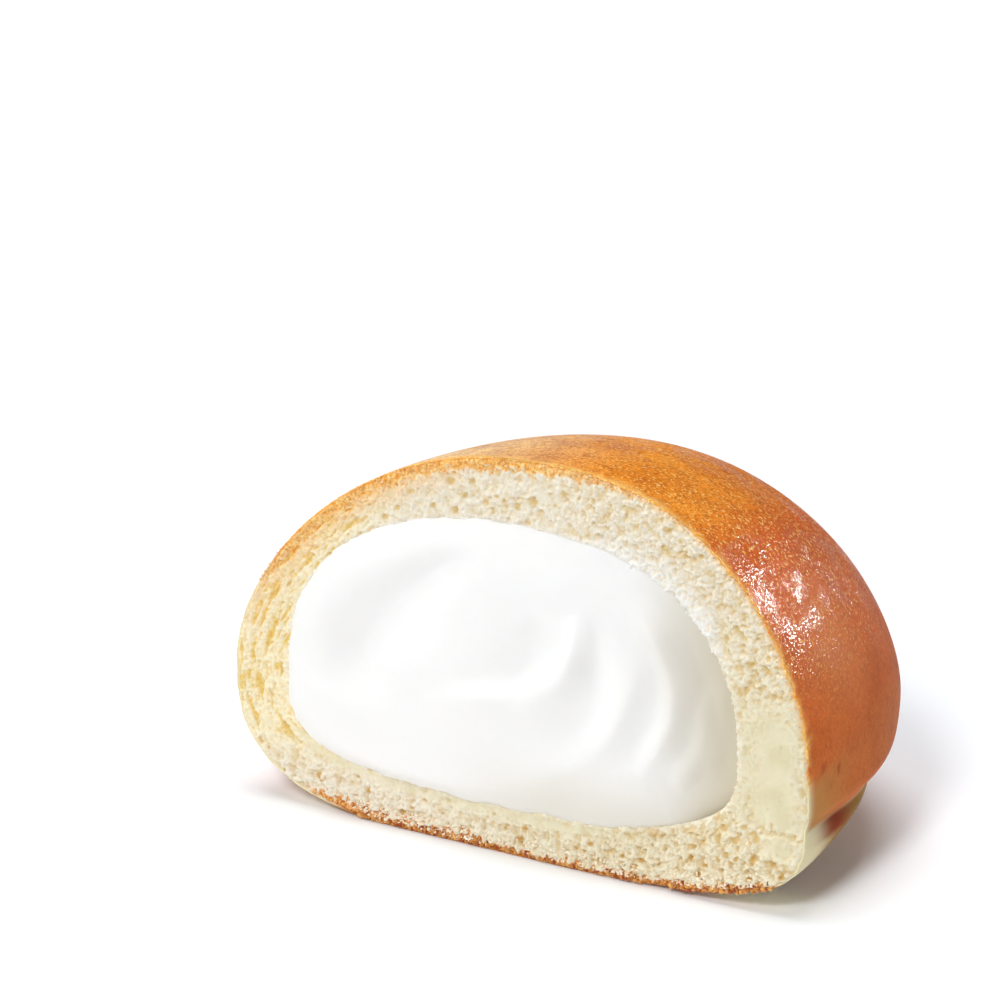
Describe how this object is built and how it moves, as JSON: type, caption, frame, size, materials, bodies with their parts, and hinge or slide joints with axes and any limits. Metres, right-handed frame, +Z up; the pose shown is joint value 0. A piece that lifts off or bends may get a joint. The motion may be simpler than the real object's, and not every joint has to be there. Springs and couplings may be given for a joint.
{
  "type": "cut cream-filled bun",
  "caption": "Soft round milk bun cut a little past its middle, with whipped yogurt cream filling swirled smooth at the cut.",
  "frame": {"origin": "middle of the bounding box in X and Y, on the surface that the bun rests on", "axes": "+X along the cut to the right as seen from in front of it, -Y out of the cut face, +Z up"},
  "size_m": [0.092, 0.0618, 0.056],
  "materials": {
    "bread": "glazed brown crust, open cream-white crumb at the cut",
    "cream": "smooth whipped cream, slightly moist"
  },
  "bodies": {
    "root": {"bread": "bread", "cream": "cream"}
  },
  "joints": []
}
